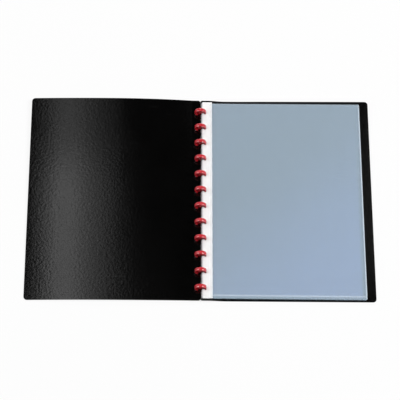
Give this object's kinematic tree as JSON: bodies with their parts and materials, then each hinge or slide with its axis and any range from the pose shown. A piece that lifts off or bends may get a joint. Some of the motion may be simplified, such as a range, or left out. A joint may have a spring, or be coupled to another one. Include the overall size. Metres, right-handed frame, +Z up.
{
  "type": "display book",
  "caption": "Display book of clear pockets with notched white binding strips, hooked between plastic covers onto a row of binding discs, lying open and flat.",
  "frame": {"origin": "middle of the spine, on the table that the open book lies on", "axes": "+X from the front cover to the back cover, +Y along the spine towards the pocket mouths, +Z up"},
  "size_m": [0.494, 0.314, 0.017],
  "materials": {
    "cover_plastic": "black polypropylene sheet with a fine embossed grain",
    "disc_plastic": "glossy moulded red plastic",
    "strip_plastic": "smooth white polypropylene strip",
    "pocket_film": "clear polypropylene film, slightly hazy"
  },
  "bodies": {
    "back_cover": {"back_cover": "cover_plastic"},
    "front_cover": {"front_cover": "cover_plastic"},
    "discs": {"disc_01": "disc_plastic", "disc_02": "disc_plastic", "disc_03": "disc_plastic", "disc_04": "disc_plastic", "disc_05": "disc_plastic", "disc_06": "disc_plastic", "disc_07": "disc_plastic", "disc_08": "disc_plastic", "disc_09": "disc_plastic", "disc_10": "disc_plastic", "disc_11": "disc_plastic", "disc_12": "disc_plastic"},
    "leaf_10": {"binding_strip_10": "strip_plastic", "pocket_front_10": "pocket_film", "pocket_back_10": "pocket_film", "weld_seam_10": "pocket_film"},
    "leaf_09": {"binding_strip_09": "strip_plastic", "pocket_front_09": "pocket_film", "pocket_back_09": "pocket_film", "weld_seam_09": "pocket_film"},
    "leaf_08": {"binding_strip_08": "strip_plastic", "pocket_front_08": "pocket_film", "pocket_back_08": "pocket_film", "weld_seam_08": "pocket_film"},
    "leaf_07": {"binding_strip_07": "strip_plastic", "pocket_front_07": "pocket_film", "pocket_back_07": "pocket_film", "weld_seam_07": "pocket_film"},
    "leaf_06": {"binding_strip_06": "strip_plastic", "pocket_front_06": "pocket_film", "pocket_back_06": "pocket_film", "weld_seam_06": "pocket_film"},
    "leaf_05": {"binding_strip_05": "strip_plastic", "pocket_front_05": "pocket_film", "pocket_back_05": "pocket_film", "weld_seam_05": "pocket_film"},
    "leaf_04": {"binding_strip_04": "strip_plastic", "pocket_front_04": "pocket_film", "pocket_back_04": "pocket_film", "weld_seam_04": "pocket_film"},
    "leaf_03": {"binding_strip_03": "strip_plastic", "pocket_front_03": "pocket_film", "pocket_back_03": "pocket_film", "weld_seam_03": "pocket_film"},
    "leaf_02": {"binding_strip_02": "strip_plastic", "pocket_front_02": "pocket_film", "pocket_back_02": "pocket_film", "weld_seam_02": "pocket_film"},
    "leaf_01": {"binding_strip_01": "strip_plastic", "pocket_front_01": "pocket_film", "pocket_back_01": "pocket_film", "weld_seam_01": "pocket_film"}
  },
  "joints": [
    {"name": "front_cover_turn", "type": "hinge", "parent": "back_cover", "child": "front_cover", "pos_m": [0, 0, 0.0085], "axis": [0, 1, 0], "range_deg": [0, 180]},
    {"name": "disc_spin", "type": "hinge", "parent": "back_cover", "child": "discs", "pos_m": [0, 0, 0.0085], "axis": [0, 1, 0], "continuous": true},
    {"name": "leaf_10_turn", "type": "hinge", "parent": "back_cover", "child": "leaf_10", "pos_m": [0, 0, 0.0085], "axis": [0, -1, 0], "range_deg": [0, 180]},
    {"name": "leaf_09_turn", "type": "hinge", "parent": "leaf_10", "child": "leaf_09", "pos_m": [0, 0, 0.0085], "axis": [0, -1, 0], "range_deg": [0, 180]},
    {"name": "leaf_08_turn", "type": "hinge", "parent": "leaf_09", "child": "leaf_08", "pos_m": [0, 0, 0.0085], "axis": [0, -1, 0], "range_deg": [0, 180]},
    {"name": "leaf_07_turn", "type": "hinge", "parent": "leaf_08", "child": "leaf_07", "pos_m": [0, 0, 0.0085], "axis": [0, -1, 0], "range_deg": [0, 180]},
    {"name": "leaf_06_turn", "type": "hinge", "parent": "leaf_07", "child": "leaf_06", "pos_m": [0, 0, 0.0085], "axis": [0, -1, 0], "range_deg": [0, 180]},
    {"name": "leaf_05_turn", "type": "hinge", "parent": "leaf_06", "child": "leaf_05", "pos_m": [0, 0, 0.0085], "axis": [0, -1, 0], "range_deg": [0, 180]},
    {"name": "leaf_04_turn", "type": "hinge", "parent": "leaf_05", "child": "leaf_04", "pos_m": [0, 0, 0.0085], "axis": [0, -1, 0], "range_deg": [0, 180]},
    {"name": "leaf_03_turn", "type": "hinge", "parent": "leaf_04", "child": "leaf_03", "pos_m": [0, 0, 0.0085], "axis": [0, -1, 0], "range_deg": [0, 180]},
    {"name": "leaf_02_turn", "type": "hinge", "parent": "leaf_03", "child": "leaf_02", "pos_m": [0, 0, 0.0085], "axis": [0, -1, 0], "range_deg": [0, 180]},
    {"name": "leaf_01_turn", "type": "hinge", "parent": "leaf_02", "child": "leaf_01", "pos_m": [0, 0, 0.0085], "axis": [0, -1, 0], "range_deg": [0, 180]}
  ]
}
